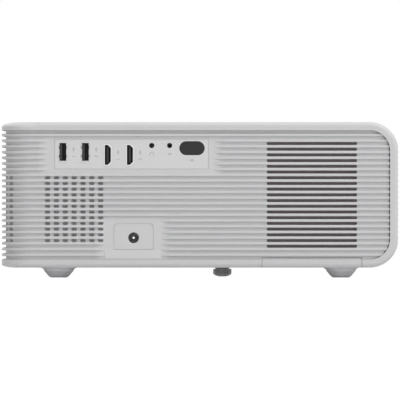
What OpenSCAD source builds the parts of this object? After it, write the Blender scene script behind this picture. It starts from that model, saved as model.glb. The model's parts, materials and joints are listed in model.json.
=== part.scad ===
// A home projector with a disc drive built in, in millimetres.
// +X is to the right when looking at the rear (socket) side, +Y is the way it projects, +Z is up.
// The origin is on the table, under the middle of the body.

/* [Body] */
// Width of the body
body_w = 278; // [272:1:300]
// Depth of the body, from the rear rim to the front rim
body_d = 218; // [214:1:240]
// Height of the body without its feet
body_h = 102; // [100:1:116]
// Height of the feet
foot_h = 7; // [6:0.5:12]

/* [Shell] */
// Thickness of the shell at its front and rear rims
rim_t = 5.75; // [5:0.25:7]
// Length of each thick rim
rim_len = 9; // [8:0.5:12]
// Thickness of the shell between its rims
plate_t = 3.2; // [2.4:0.1:4]
// Radius of the two rounded right-hand edges
right_r = 20; // [16:1:24]
// Radius of the rounded outer edge of each rim
edge_r = 2.8; // [2:0.2:4]
// Gap between the shell and the right-hand end of the ribbed walls
seam_gap = 0.2; // [0.1:0.1:0.5]

/* [Ribs] */
// Distance from one rib to the next
rib_pitch = 4; // [3.8:0.1:4.2]
// Height of a rib at its foot
rib_base = 1.9; // [1.7:0.1:2.1]
// Height of a rib at its tip
rib_tip = 1.4; // [1.1:0.1:1.6]
// Depth of the grooves on the rear and the front
rib_depth = 1.2; // [1:0.1:1.6]
// Depth of the grooves on the left side
side_depth = 3; // [2:0.1:3.4]
// Radius of the two left-hand corners, seen from above
corner_r = 20; // [18:1:24]
// Wall behind the grooves
wall_t = 2.4; // [2:0.1:3]
// How far the rib tips lie inside the rim
panel_recess = 1; // [0.6:0.1:1.4]

/* [Sockets] */
// Long side of an upright USB socket's shell
usb_long = 14.1; // [13.8:0.1:14.4]
// Short side of an upright USB socket's shell
usb_short = 6.4; // [6.2:0.1:6.8]
// Wall of a socket's shell, with its rolled edge
lip_t = 0.8; // [0.6:0.1:0.9]
// Long side of an upright HDMI socket's shell
hdmi_long = 15.5; // [15:0.1:16]
// Short side of an upright HDMI socket's shell
hdmi_short = 5.8; // [5.6:0.1:6.2]
// Bore of a 3.5 mm jack
jack_bore = 3.6; // [3.55:0.01:3.7]
// Hole of the power inlet
dc_hole = 7.6; // [7:0.1:8]
// Centre pin of the power inlet
dc_pin_d = 1.65; // [1.6:0.05:2.5]

/* [Openings] */
// Width of one exhaust slot
exhaust_w = 63.3; // [50:0.5:66]
// Distance from the right-hand side to the middle of the exhaust, the lens and the filter drawer
lens_in = 60.5; // [59:0.5:63]
// Length of one speaker slot
slot_len = 3.8; // [3:0.1:4.6]
// Distance from one column of speaker slots to the next
slot_pitch = 6.2; // [5.6:0.1:6.6]
// Width of the filter drawer's face
drawer_w = 70.2; // [68:0.5:72]

/* [Disc drive] */
// Width of the disc drive's case
drive_w = 128; // [127:0.5:130]
// Depth of the disc drive's case
drive_l = 127; // [126:0.5:130]
// Height of the disc drive's case
drive_h = 12.7; // [12.6:0.1:13.2]
// Distance from the left-hand side to the middle of the disc drive
drive_in = 77; // [76:0.5:79]
// Diameter of the well that the disc lies in
well_d = 121; // [120.5:0.5:122]
// Gap round the tray's bezel
bezel_gap = 0.3; // [0.2:0.05:0.5]
// Running gap between the tray, its rails and the case
slide_gap = 0.4; // [0.3:0.05:0.5]

/* [Lens] */
// Gap between the lens bezel and the rims above and below it
bezel_room = 0.25; // [0.15:0.05:0.6]
// Distance from the rim of the lens bezel in to the focus ring
ring_in = 12; // [11:0.5:13]
// Distance from the rim of the focus ring in to the sliding lens barrel
barrel_in = 8; // [7:0.5:9]
// Radial clearance of a shaft or a tube that turns or slides in another
fit_gap = 0.05; // [0.03:0.01:0.08]

/* [Keys] */
// Diameter of a round key
key_d = 11; // [9:0.5:12]
// Gap round a key
key_gap = 0.25; // [0.2:0.05:0.35]
// How far a key can be pressed
key_travel = 0.8; // [0.5:0.1:1]
// Middle of the key panel along the depth
keys_y = 15; // [0:1:30]

/* [Feet] */
// Diameter of a rear foot where it meets the body
foot_top_d = 25.8; // [24:0.2:28]
// Diameter of a rear foot on the table
foot_base_d = 14.6; // [12:0.1:16]
// Distance from a side of the body to the middle of the rear foot next to it
foot_in = 40; // [38:1:49]
// Diameter of the turning front foot
wheel_d = 13.1; // [12:0.1:16]
// Place of the front foot across the width
wheel_x = 16; // [10:1:20]

/* [Hidden] */
$fn = 48;
bite = 0.5;

// Colours, as the photo shows them
light_grey = [0.79, 0.79, 0.80];
rib_grey = [0.76, 0.76, 0.77];
foot_grey = [0.60, 0.60, 0.63];
dark_grey = [0.25, 0.25, 0.26];
black = [0.09, 0.09, 0.10];
steel = [0.72, 0.73, 0.75];
brass = [0.80, 0.66, 0.36];
green = [0.10, 0.32, 0.20];
glass = [0.62, 0.72, 0.80, 0.5];

// Planes of the body
hw = body_w / 2;
hd = body_d / 2;
z_low = foot_h;
z_top = foot_h + body_h;
z_mid = foot_h + body_h / 2;
tip_y = hd - panel_recess;
floor_y = tip_y - rib_depth;
inner_y = floor_y - wall_t;
floor_x = hw - side_depth;
inner_x = floor_x - wall_t;
top_in = z_top - plate_t;
low_in = z_low + plate_t;
rim_low = z_low + rim_t;
rim_top = z_top - rim_t;

// Grooves are counted from the top. An odd number of them sits about the middle of the height.
groove_n = 2 * floor((body_h - 2 * rim_t) / rib_pitch / 2) + 1;
function groove_z(k) = z_mid + rib_pitch * ((groove_n + 1) / 2 - k);
function rib_z(k) = groove_z(k) - rib_pitch / 2;
slot_h = rib_pitch - rib_base - 0.1;

// Soft left-hand edges of the shell, above and below the ribs
top_soft = [12.6, 3.15];
low_soft = [9.5, 2.2];
lip_x = hw - 8;
rim_gap = 0.1;
blend_l = 7;

// Sockets on the port plate, counted from the left and placed from the left-hand side
plate_x = [37.4 - hw, 145 - hw];
plate_z = [groove_z(2) - 1, groove_z(8) + 2.2];
skin_t = 1.6;
flange = 2;
plate_gap = 0.15;
usb_x = [43 - hw, 58.8 - hw];
usb_z = groove_z(5) + 2.1;
hdmi_x = [74.5 - hw, 90 - hw];
hdmi_z = groove_z(5);
jack_x = [105.3 - hw, 117.8 - hw];
jack_z = groove_z(5) + 6.6;
ir_x = 133.5 - hw;
ir_z = groove_z(5) + 4.7;
ir_size = [17.7, 9.7];
ir_edge = 0.4;
socket_face = floor_y + 0.2;
socket_l = 14;
jack_half = 3;
notch = [1.6, 0.45, 6];
notch_out = 3;
tongue_l = 12;
board_x = [23 - hw, 153 - hw];

// Power inlet
dc_x = 92.6 - hw;
dc_z = rim_low + 15.2;
dc_w = 27.4;
dc_top = dc_z + 10;
dc_low = rim_low + 7;
dc_corner = 3;
dc_depth = 11;
dc_half = 6;
dc_root_d = dc_pin_d + 1;
power_x = [dc_x - 20.3, dc_x + 19.5];
sill_y = floor_y + 0.6;

// Openings in the ribbed walls
exhaust_rows = [3, groove_n - 2];
speaker_rows = [9, min(20, groove_n - 2)];
speaker_cols = 7;
speaker_x = 32.3 - hw;
side_first_y = -(hd - 9);
speaker_z = (groove_z(speaker_rows[0]) + groove_z(speaker_rows[1])) / 2;
cloth_t = 0.5;
screen_t = 0.6;
screen_pitch = 1.6;
screen_gap = 0.7;
seam_recess = 0.7;

// Disc drive
drive_x = drive_in - hw;
tray_row = 16;
drive_z = (groove_z(tray_row) + groove_z(tray_row + 3)) / 2;
sheet_t = 0.8;
case_front = inner_y - 2;
case_half = drive_w / 2 - sheet_t;
rail_t = 1;
rail_h = 5;
rail_flange = 0.8;
rail_out = case_half - 0.3;
rail_in = rail_out - rail_t;
tray_half = rail_in - 0.3;
tray_l = drive_l - 3;
tray_low = drive_z - 5;
tray_top = drive_z + 4;
well_z = drive_z + 1.6;
skin_z = drive_z + 0.2;
disc_y = inner_y - tray_l / 2;
cavity_half = tray_half - 1.8;
sled_z = tray_low + 1;
rod_z = sled_z + 2.1;
screw_z = sled_z + 2.1;
rod_r = 1;
screw_r = 1.2;
journal_r = 0.7;
rod_y = 12;
screw_y = -16.2;
tab_in = 15;
tab_out = 63;
tab_t = 1.5;
pickup_r = 25;
pickup_half = 7;
hub_r = 14;
hub_base = sled_z + 2.9;
eject_x = drive_x + drive_w / 2 - 12;
eject_size = [9, 3];

// Lens and light path
lens_x = hw - lens_in;
lens_z = z_mid;
bezel_r = body_h / 2 - rim_t - bezel_room;
ring_r = bezel_r - ring_in;
barrel_r = ring_r - barrel_in;
tube_r = barrel_r + 3;
barrel_front = hd - 5;
tube_front = hd - 11;
box_w = 96;
box_h = 2 * ring_r;
box_wall = 2.5;
box_y = [hd - 147, hd - 83];
cone_y = hd - 49;
cone_half = tube_r + 3;
barrel_rear = hd - 43;
rear_lens_y = hd - 37;
lcd_in = 14;
led_y = box_y[0] - 8;
led_s = 56;
sink_h = 64;
fan_s = 70;
fan_t = 15;
fan_y = screen_t - inner_y;
shaft_r = 1.5;

// Keys
panel_size = [130, 44];
key_top = z_top - 0.1;
panel_top = z_top - 1.2;
flange_t = 1;
board_t = 1.6;
panel_low = top_in - 1.5;
board_top = panel_low - flange_t - 0.4 - key_travel - 0.3;

// Filter drawer
drawer_gap_w = 0.3;
frame_w = drawer_w - 6;
frame_y = [rim_len - hd, 77 - hd];
frame_z = [low_in + 0.3, rim_low + 1];

// Feet
foot_x = hw - foot_in;
foot_y = -(hd - 24);
peg_r = 2.9;
wheel_y = hd - 17;
stud_r = 3;
stud_root = 2;
stud_z = 2;
wheel_h = foot_h - 1.6;
nut_z = low_in + 4;
left_screw = [11.1 - hw, hd - 10.3];
right_screw = [hw - 21, hd - 7.2];
screw_at = [for (p = [left_screw, right_screw], s = [-1, 1]) [p[0], s * p[1]]];
boss_r = 3.2;
boss_h = 10;
boss_gap = 0.2;
pilot_r = 1.45;
head_r = 2.4;

// ---------------------------------------------------------------- shared shapes

// A stadium: a bar of length l and height h with round ends
module stadium(l, h) {
    square([l - h, h], center = true);
    for (s = [-1, 1]) translate([s * (l - h) / 2, 0]) circle(d = h);
}

// Stands a drawing in X and Z upright, from y0 to y1
module upright(y0, y1) {
    translate([0, y1, 0]) rotate([90, 0, 0]) linear_extrude(y1 - y0) children();
}

// Draws along X a drawing in Y and Z, from x0 to x1
module along_x(x0, x1) {
    translate([x0, 0, 0]) rotate([90, 0, 90]) linear_extrude(x1 - x0) children();
}

// A box between two corners
module block(a, b) {
    translate(a) cube(b - a);
}

// Turns a profile about the axis of the lens. A height of -y in the profile comes to lie at Y = y.
module about_lens() {
    translate([lens_x, 0, lens_z]) rotate([90, 0, 0]) rotate_extrude() children();
}

// A solid disc about the axis of the lens
module lens_disc(r, y0, y1) {
    translate([lens_x, y1, lens_z]) rotate([90, 0, 0]) cylinder(r = r, h = y1 - y0);
}

// ---------------------------------------------------------------- shell

// Points of a quarter ellipse that rounds an edge at x = reach, soft = [width, height]
function round_edge(reach, soft) =
    [for (a = [0:15:90]) [reach - soft[0] * (1 - cos(a)), soft[1] * sin(a)]];
function lifted(points, z) = [for (p = points) [p[0], p[1] + z]];
function flipped(points) = [for (i = [len(points) - 1:-1:0]) [-points[i][0], points[i][1]]];

// Section of a rim band, which stands on z = 0 and is rim_t high
function band_edge(reach, soft) = concat([[reach, 0]], lifted(round_edge(reach, soft), rim_t - soft[1]));
round_soft = [edge_r, edge_r];

// Joins the outline of the band at x0, with soft edges, to the outline at x1, with round ones
module band_blend(x0, x1, soft) {
    ring0 = concat(band_edge(hd, soft), flipped(band_edge(hd, soft)));
    ring1 = concat(band_edge(hd, round_soft), flipped(band_edge(hd, round_soft)));
    n = len(ring0);
    polyhedron(points = concat([for (p = ring0) [x0, p[0], p[1]]], [for (p = ring1) [x1, p[0], p[1]]]),
        faces = concat([[for (i = [0:n - 1]) i]], [[for (i = [n - 1:-1:0]) n + i]],
            [for (i = [0:n - 1]) [i, n + i, (i + 1) % n]],
            [for (i = [0:n - 1]) [(i + 1) % n, n + i, n + (i + 1) % n]]));
}

// The left end of a rim band: soft edges that turn round both corners
module left_band(soft) {
    section = concat([[0, 0]], band_edge(corner_r, soft), [[0, rim_t]]);
    for (s = [-1, 1]) translate([corner_r - hw, s * (hd - corner_r), 0])
        rotate([0, 0, s > 0 ? 90 : 180]) rotate_extrude(angle = 90) polygon(section);
    upright(corner_r - hd, hd - corner_r) translate([corner_r - hw, 0]) mirror([1, 0]) polygon(section);
    band_blend(corner_r - hw, corner_r + blend_l - hw, soft);
}

// The outer edge of both rims where the shell reaches out to x = reach
function side_edge(reach) = let (turn = round_edge(hd, round_soft))
    concat([for (p = turn) [reach - edge_r + p[1], -p[0]]],
        [for (i = [len(turn) - 1:-1:0]) [reach - edge_r + turn[i][1], turn[i][0]]]);

module shell_outside() {
    round = round_edge(hd, round_soft);
    upper = lifted(round, z_top - edge_r);
    lower = [for (i = [len(round) - 1:-1:0]) [round[i][0], z_low + edge_r - round[i][1]]];
    translate([0, 0, rim_top]) left_band(top_soft);
    translate([0, 0, rim_low]) mirror([0, 0, 1]) left_band(low_soft);
    along_x(corner_r + blend_l - hw, hw - right_r)
        polygon(concat(lower, upper, flipped(concat(lower, upper))));
    translate([0, 0, z_low + right_r]) linear_extrude(body_h - 2 * right_r)
        polygon(concat([[hw - right_r, -hd]], side_edge(hw), [[hw - right_r, hd]]));
    for (s = [-1, 1]) translate([hw - right_r, 0, s > 0 ? z_top - right_r : z_low + right_r])
        rotate([90, s > 0 ? 0 : 90, 0]) rotate_extrude(angle = 90)
            polygon(concat([[0, -hd]], side_edge(right_r), [[0, hd]]));
}

// The space inside walls of thickness t, open towards the left
module space_inside(t, left) {
    r = right_r - t;
    translate([left, z_low + t]) square([hw - t - r - left, body_h - 2 * t]);
    translate([hw - t - r - 1, z_low + t + r]) square([r + 1, body_h - 2 * t - 2 * r]);
    for (z = [z_low + t + r, z_top - t - r]) translate([hw - t - r, z]) circle(r = r);
}

module drawer_gap(grow) {
    half = drawer_w / 2 + grow;
    block([lens_x - half, -hd - 1, z_low - 1], [lens_x + half, -hd + rim_len, rim_low]);
}

module shell_body() {
    difference() {
        shell_outside();
        upright(-hd - 1, hd + 1) space_inside(rim_t, -hw - 2);
        upright(-hd + rim_len, hd - rim_len) space_inside(plate_t, -lip_x);
    }
}

// Shallow grooves along the right side, in line with the rear ones
module side_grooves() {
    chord = 1.3;
    deep = 0.35;
    r = (chord * chord + deep * deep) / (2 * deep);
    for (k = [4:groove_n - 3])
        translate([hw + r - deep, hd + 1, groove_z(k)]) rotate([90, 0, 0])
            cylinder(r = r, h = body_d + 2);
}

// Air intake slots in the right side
module side_vents() {
    for (k = [6:groove_n - 5], y = [57 - hd, 109 - hd])
        translate([hw, y, groove_z(k)]) rotate([90, 0, 90])
            linear_extrude(4 * plate_t, center = true) stadium(44, slot_h);
}

// Air intake slots under the dust filter
module floor_vents() {
    for (i = [0:5])
        translate([lens_x, 45 - hd + 5 * i, z_low]) linear_extrude(3 * plate_t, center = true)
            stadium(54, 2.4);
}

module wrap_shell() {
    color(light_grey) difference() {
        union() {
            shell_body();
            translate([wheel_x, wheel_y, low_in - bite]) cylinder(r = 7, h = nut_z + 8 - low_in + bite);
            for (x = [drive_x - 54, drive_x + 54], y = [case_front - 112, case_front - 12])
                translate([x, y, low_in - bite])
                    cylinder(r = 3.5, h = drive_z - drive_h / 2 - low_in + bite);
            for (x = [board_x[0] + 6, board_x[1] - 6], y = [17 - hd, 69 - hd])
                translate([x, y, groove_z(2) - 0.4]) cylinder(r = 3, h = top_in - groove_z(2) + 0.4 + bite);
            for (s = [-1, 1], y = [box_y[0] + 8, box_y[1] - 8])
                translate([lens_x + s * (box_w / 2 - 5), y, low_in - bite])
                    cylinder(r = 3.5, h = lens_z - box_h / 2 - low_in + bite);
        }
        drawer_gap(0);
        side_grooves();
        side_vents();
        floor_vents();
        translate([0, keys_y, top_in - 1]) linear_extrude(plate_t + 2)
            stadium(panel_size[0], panel_size[1]);
        for (s = [-1, 1]) translate([s * foot_x, foot_y, z_low - 1]) cylinder(r = peg_r + 0.1, h = 3);
        translate([wheel_x, wheel_y, z_low - 1]) cylinder(r = stud_r + 0.6, h = body_h / 3);
        translate([wheel_x, wheel_y, nut_z]) cylinder(r = 5, h = body_h / 3);
        for (p = screw_at) {
            translate([p[0], p[1], z_low - 1]) cylinder(r = 1.7, h = rim_t + 2);
            translate([p[0], p[1], z_low - 1]) cylinder(r = head_r + 0.3, h = 2.8);
        }
    }
}

// ---------------------------------------------------------------- ribbed walls

// Plan of the body with its left corners rounded about a centre at cy from the middle
module plan(left, half, r) {
    translate([-left + r, -half]) square([hw + left - r + 5, 2 * half]);
    translate([-left, -half + r]) square([r + 1, 2 * (half - r)]);
    for (s = [-1, 1]) translate([-left + r, s * (half - r)]) circle(r = r);
}

module inner_plan() {
    plan(inner_x, inner_y, corner_r - side_depth - wall_t);
}

module wall_core() {
    translate([0, 0, rim_low]) linear_extrude(body_h - 2 * rim_t) difference() {
        plan(floor_x, floor_y, corner_r - side_depth);
        inner_plan();
    }
}

module rib_plates() {
    for (k = [1:groove_n - 1])
        translate([0, 0, rib_z(k) - rib_base / 2]) linear_extrude(rib_base) difference() {
            plan(hw - rib_depth, floor_y, corner_r - rib_depth);
            inner_plan();
        }
}

// Section of all the rib tips: u0 is where their feet are, and s gives the way out
module tip_section(u0, s) {
    for (k = [1:groove_n - 1])
        translate([u0, rib_z(k)]) polygon([[-s * bite, -rib_base / 2], [0, -rib_base / 2],
            [s * rib_depth, -rib_tip / 2], [s * rib_depth, rib_tip / 2], [0, rib_base / 2],
            [-s * bite, rib_base / 2]]);
}

module rib_tips() {
    for (s = [-1, 1]) {
        along_x(corner_r - hw, hw) tip_section(s * floor_y, s);
        translate([corner_r - hw, s * (tip_y - corner_r), 0])
            rotate([0, 0, s > 0 ? 90 : 180]) rotate_extrude(angle = 90)
                tip_section(corner_r - rib_depth, 1);
    }
    upright(corner_r - tip_y, tip_y - corner_r) tip_section(rib_depth - hw, -1);
}

// Takes the ribs off a wall down to the groove floor, with a ramp at each end
module rib_pocket(x0, x1, z0, z1, ramp) {
    translate([0, 0, z0]) linear_extrude(z1 - z0)
        polygon([[x0 - ramp, -tip_y], [x0, -floor_y], [x1, -floor_y], [x1 + ramp, -tip_y],
            [x1 + ramp, -hd - 1], [x0 - ramp, -hd - 1]]);
}

module rear_slots() {
    upright(-hd, -inner_y + 1) {
        for (k = [speaker_rows[0]:speaker_rows[1]], i = [0:speaker_cols - 1])
            translate([speaker_x + slot_pitch * i, groove_z(k)]) stadium(slot_len, slot_h);
        for (k = [exhaust_rows[0]:exhaust_rows[1]])
            translate([lens_x, groove_z(k)]) stadium(exhaust_w, slot_h);
    }
}

module side_slots() {
    along_x(-hw - 1, -inner_x + 9)
        for (k = [speaker_rows[0]:speaker_rows[1]], i = [0:speaker_cols - 1])
            translate([side_first_y + slot_pitch * i, groove_z(k)]) stadium(slot_len, slot_h);
}

module front_openings() {
    half = drive_w / 2 + bezel_gap;
    block([drive_x - half, inner_y - 3, groove_z(tray_row + 3)], [drive_x + half, hd, groove_z(tray_row)]);
    lens_disc(bezel_r + 0.2, floor_y, hd);
    lens_disc(bezel_r - 2, inner_y - 1, hd);
    translate([wheel_x, 0, groove_z(5)]) upright(inner_y - 1, hd) stadium(14, 8);
}

module port_openings() {
    w = plate_x[1] - plate_x[0];
    h = plate_z[0] - plate_z[1];
    translate([plate_x[0] - plate_gap, -hd, plate_z[1] - plate_gap])
        cube([w + 2 * plate_gap, hd - inner_y + 1, h + 2 * plate_gap]);
    upright(-hd, -inner_y + 1) arch(plate_gap);
}

// Outline of the power inlet's plate: flat at the bottom, round at the top corners
module arch(grow) {
    half = dc_w / 2 + grow;
    h = dc_top - dc_low + 2 * grow;
    translate([dc_x, dc_low - grow]) {
        translate([-half, 0]) square([2 * half, h - dc_corner]);
        translate([dc_corner - half, 0]) square([2 * half - 2 * dc_corner, h]);
        for (s = [-1, 1]) translate([s * (half - dc_corner), h - dc_corner]) circle(r = dc_corner);
    }
}

// The space between the rims, with a gap on the right
module inside_rims(gap) {
    upright(-hd, hd) translate([rim_gap - gap, 0]) space_inside(rim_t + rim_gap, -hw - 2);
}

module ribbed_housing() {
    color(rib_grey) difference() {
        union() {
            difference() {
                union() {
                    intersection() {
                        wall_core();
                        inside_rims(seam_recess);
                    }
                    intersection() {
                        union() {
                            rib_plates();
                            rib_tips();
                        }
                        inside_rims(seam_gap);
                    }
                }
                rib_pocket(plate_x[0] - 4.9, plate_x[1] + 3.7, rib_z(8) + rib_base, rib_z(1) - rib_base, 7);
                rib_pocket(power_x[0], power_x[1], rim_low - 1, rib_z(15) - rib_base, 6);
            }
            // Under the power inlet the flat runs out to the level of the rim
            along_x(power_x[0], power_x[1])
                polygon([[bite - floor_y, rim_low + rim_gap], [-sill_y, rim_low + rim_gap],
                    [-sill_y, rim_low + 1.2], [-floor_y, dc_low], [bite - floor_y, dc_low]]);
            for (p = screw_at) translate([p[0], p[1], rim_low + boss_gap]) cylinder(r = boss_r, h = boss_h);
        }
        for (p = screw_at) translate([p[0], p[1], rim_low - 1]) cylinder(r = pilot_r, h = boss_h);
        rear_slots();
        side_slots();
        front_openings();
        port_openings();
        translate([lens_x - drawer_w / 2, -hd, rim_low - 1]) cube([drawer_w, hd - inner_y + 1, 2.3]);
    }
}

// ---------------------------------------------------------------- sockets

module port_plate() {
    w = plate_x[1] - plate_x[0];
    h = plate_z[0] - plate_z[1];
    color(light_grey) difference() {
        union() {
            translate([plate_x[0], -floor_y, plate_z[1]]) cube([w, wall_t, h]);
            translate([plate_x[0] - flange, -inner_y, plate_z[1] - flange])
                cube([w + 2 * flange, skin_t, h + 2 * flange]);
        }
        upright(-hd, 0) {
            for (x = usb_x) translate([x, usb_z])
                square([usb_short + 2 * fit_gap, usb_long + 2 * fit_gap], center = true);
            for (x = hdmi_x) translate([x, hdmi_z]) hdmi_outline(fit_gap);
            for (x = jack_x) translate([x, jack_z]) circle(d = jack_bore + 2 * fit_gap);
            translate([ir_x, ir_z]) stadium(ir_size[0] + 2 * fit_gap, ir_size[1] + 2 * fit_gap);
        }
    }
}

// An upright USB shell, with a notch over each of its four springs
module usb_shell(x) {
    inner = usb_inner();
    color(steel) difference() {
        upright(-socket_face, -socket_face + socket_l) translate([x, usb_z]) difference() {
            square([usb_short, usb_long], center = true);
            square(inner, center = true);
        }
        upright(-socket_face - 1, notch[2] - socket_face) for (s = [-1, 1])
            translate([x, usb_z + s * notch_out])
                square([inner[0] + 2 * notch[1], notch[0]], center = true);
    }
}

function usb_inner() = [usb_short - 2 * lip_t, usb_long - 2 * lip_t];

module usb_shell_1() {
    usb_shell(usb_x[0]);
}

module usb_shell_2() {
    usb_shell(usb_x[1]);
}

module usb_tongues() {
    color(black) for (x = usb_x) {
        inner = usb_inner();
        translate([x - inner[0] / 2, 1 - socket_face, usb_z - inner[1] / 2 + 0.6])
            cube([1.9, tongue_l, inner[1] - 1.2]);
        translate([x - inner[0] / 2, tongue_l - 1 - socket_face, usb_z - inner[1] / 2])
            cube([inner[0], socket_l - tongue_l + 1, inner[1]]);
    }
}

// Outline of an upright HDMI shell: the long side towards +X has cut corners
module hdmi_outline(grow) {
    a = hdmi_short / 2 + grow;
    b = hdmi_long / 2 + grow;
    c = 2.1;
    polygon([[-a, -b], [a - c, -b], [a, -b + c], [a, b - c], [a - c, b], [-a, b]]);
}

module hdmi_shell(x) {
    color(steel) upright(-socket_face, -socket_face + socket_l) translate([x, hdmi_z]) difference() {
        hdmi_outline(0);
        hdmi_outline(-lip_t);
    }
}

module hdmi_shell_1() {
    hdmi_shell(hdmi_x[0]);
}

module hdmi_shell_2() {
    hdmi_shell(hdmi_x[1]);
}

module hdmi_tongues() {
    color(black) for (x = hdmi_x) {
        translate([x - 0.7, 1 - socket_face, hdmi_z - 5.6]) cube([1.2, tongue_l, 11.2]);
        upright(tongue_l - 1 - socket_face, socket_l - socket_face) translate([x, hdmi_z])
            hdmi_outline(-lip_t);
    }
}

module jack(x) {
    color(dark_grey) difference() {
        translate([x - jack_half, skin_t - inner_y, jack_z - jack_half])
            cube([2 * jack_half, socket_l, 2 * jack_half]);
        upright(-inner_y, -inner_y + socket_l) translate([x, jack_z]) circle(d = jack_bore);
    }
}

module av_jack() {
    jack(jack_x[0]);
}

module phone_jack() {
    jack(jack_x[1]);
}

module ir_window_rear() {
    color(dark_grey) union() {
        upright(-floor_y, -inner_y + skin_t) translate([ir_x, ir_z]) stadium(ir_size[0], ir_size[1]);
        upright(-inner_y + skin_t, -inner_y + skin_t + 1) translate([ir_x, ir_z])
            stadium(ir_size[0] + 2, ir_size[1] + 2 * ir_edge);
    }
}

module ir_window_front() {
    color(dark_grey) union() {
        translate([wheel_x, 0, groove_z(5)]) upright(inner_y, tip_y) stadium(13.8, 7.8);
        translate([wheel_x, 0, groove_z(5)]) upright(inner_y - 1, inner_y) stadium(17, 11);
    }
}

module power_plate() {
    color(light_grey) difference() {
        union() {
            upright(-floor_y, -inner_y) arch(0);
            upright(-inner_y, -inner_y + skin_t) arch(flange);
        }
        upright(-hd, 0) translate([dc_x, dc_z]) circle(d = dc_hole);
    }
}

module dc_jack() {
    color(black) difference() {
        translate([dc_x - dc_half, skin_t - inner_y, dc_z - dc_half])
            cube([2 * dc_half, socket_l, 2 * dc_half]);
        upright(-inner_y, dc_depth - inner_y) translate([dc_x, dc_z]) circle(d = dc_hole);
        upright(-inner_y, 0) translate([dc_x, dc_z]) circle(d = dc_root_d);
    }
}

// The centre pin, on a thicker root that the jack holds
module dc_pin() {
    color(steel) union() {
        upright(1 - floor_y, dc_depth - inner_y) translate([dc_x, dc_z]) circle(d = dc_pin_d);
        upright(dc_depth - inner_y - 0.4, socket_l - inner_y) translate([dc_x, dc_z]) circle(d = dc_root_d);
    }
}

module main_board() {
    low = max(usb_z + usb_long / 2, hdmi_z + hdmi_long / 2, jack_z + jack_half,
        ir_z + ir_size[1] / 2 + ir_edge);
    color(green) block([board_x[0], skin_t - inner_y, low + 0.1], [board_x[1], 80 - hd, groove_z(2) - 0.4]);
}

// ---------------------------------------------------------------- sound

// The screen behind the exhaust: upright bars, in two rows
module exhaust_screen() {
    w = exhaust_w + 5;
    zs = [groove_z(exhaust_rows[1]) - 3, groove_z(exhaust_rows[0]) + 3];
    count = floor(exhaust_w / screen_pitch);
    slot = (zs[1] - zs[0]) / 2 - 2.5;
    upright(-inner_y, screen_t - inner_y) difference() {
        translate([lens_x - w / 2, zs[0]]) square([w, zs[1] - zs[0]]);
        for (i = [0:count - 1], z = [zs[0] + 1.5, lens_z + 1])
            translate([lens_x + (i - (count - 1) / 2) * screen_pitch - screen_gap / 2, z])
                square([screen_gap, slot]);
    }
}

// Cloth behind the speaker slots, and the screen behind the exhaust
module grille_cloth() {
    zs = [groove_z(speaker_rows[1]) - 3, groove_z(speaker_rows[0]) + 3];
    rear_w = slot_pitch * speaker_cols + 3;
    side_w = slot_pitch * (speaker_cols - 1);
    color(dark_grey) {
        translate([speaker_x - 4, -inner_y, zs[0]]) cube([rear_w, cloth_t, zs[1] - zs[0]]);
        translate([-inner_x, -inner_y + corner_r, zs[0]]) cube([cloth_t, side_w - 5, zs[1] - zs[0]]);
        exhaust_screen();
    }
}

// A small loudspeaker: frame, basket and magnet, as one turned piece seen along its axis
module driver(r, depth) {
    rotate_extrude() polygon([[0, depth], [0, 4], [r * 0.25, 5], [r * 0.8, 1], [r, 0], [r, 2],
        [r * 0.6, depth * 0.55], [r * 0.6, depth]]);
}

module speaker_rear() {
    middle = speaker_x + slot_pitch * (speaker_cols - 1) / 2;
    color(black) translate([middle, cloth_t - inner_y, speaker_z]) rotate([-90, 0, 0]) driver(20, 18);
}

module speaker_side() {
    color(black) translate([cloth_t - inner_x, -inner_y + corner_r + 16, speaker_z]) rotate([0, 90, 0])
        driver(15, 14);
}

// ---------------------------------------------------------------- filter drawer

module filter_drawer() {
    half = drawer_w / 2 - drawer_gap_w;
    color(light_grey) difference() {
        union() {
            intersection() {
                shell_outside();
                block([lens_x - half, -hd - 1, z_low - 1], [lens_x + half, -hd + rim_len, rim_low]);
            }
            block([lens_x - half, -floor_y, rim_low - 1], [lens_x + half, -inner_y, frame_z[1]]);
            block([lens_x - frame_w / 2, -hd + rim_len - 1, frame_z[0]],
                [lens_x + frame_w / 2, frame_y[1], frame_z[1]]);
        }
        block([lens_x - frame_w / 2 + 4, frame_y[0] + 4, z_low],
            [lens_x + frame_w / 2 - 4, frame_y[1] - 4, z_mid]);
        translate([lens_x, -hd + 4, z_low]) linear_extrude(3, center = true) stadium(24, 4);
    }
}

// A pleated filter in the drawer's frame
module dust_filter() {
    pleats = 12;
    y0 = frame_y[0] + 4;
    step = (frame_y[1] - 4 - y0) / pleats;
    zs = [frame_z[0] + 0.4, frame_z[1] - 1];
    color(dark_grey) along_x(lens_x - frame_w / 2 + 4, lens_x + frame_w / 2 - 4)
        polygon(concat([for (i = [0:pleats]) [y0 + step * i, i % 2 == 0 ? zs[0] + 1 : zs[1]]],
            [for (i = [pleats:-1:0]) [y0 + step * i, (i % 2 == 0 ? zs[0] + 1 : zs[1]) - 0.9]]));
}

// ---------------------------------------------------------------- feet

module rear_foot(x) {
    top = foot_top_d / 2;
    low = foot_base_d / 2;
    knee = foot_h - 2.3;
    cone = low + (knee - 1.2) * 0.85;
    flare = [for (t = [0.25:0.25:1]) [cone + (top - cone) * t * t, knee + (foot_h - knee) * pow(t, 0.8)]];
    color(foot_grey) translate([x, foot_y, 0])
        rotate_extrude() polygon(concat([[0, 0], [low - 1.7, 0], [low, 1.2], [cone, knee]], flare,
            [[peg_r, foot_h], [peg_r, foot_h + 2], [0, foot_h + 2]]));
}

module rear_foot_left() {
    rear_foot(-foot_x);
}

module rear_foot_right() {
    rear_foot(foot_x);
}

module adjuster_nut() {
    color(brass) translate([wheel_x, wheel_y, nut_z]) difference() {
        cylinder(r = 5, h = 8);
        translate([0, 0, -1]) cylinder(r = stud_r + fit_gap, h = 10);
    }
}

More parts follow.
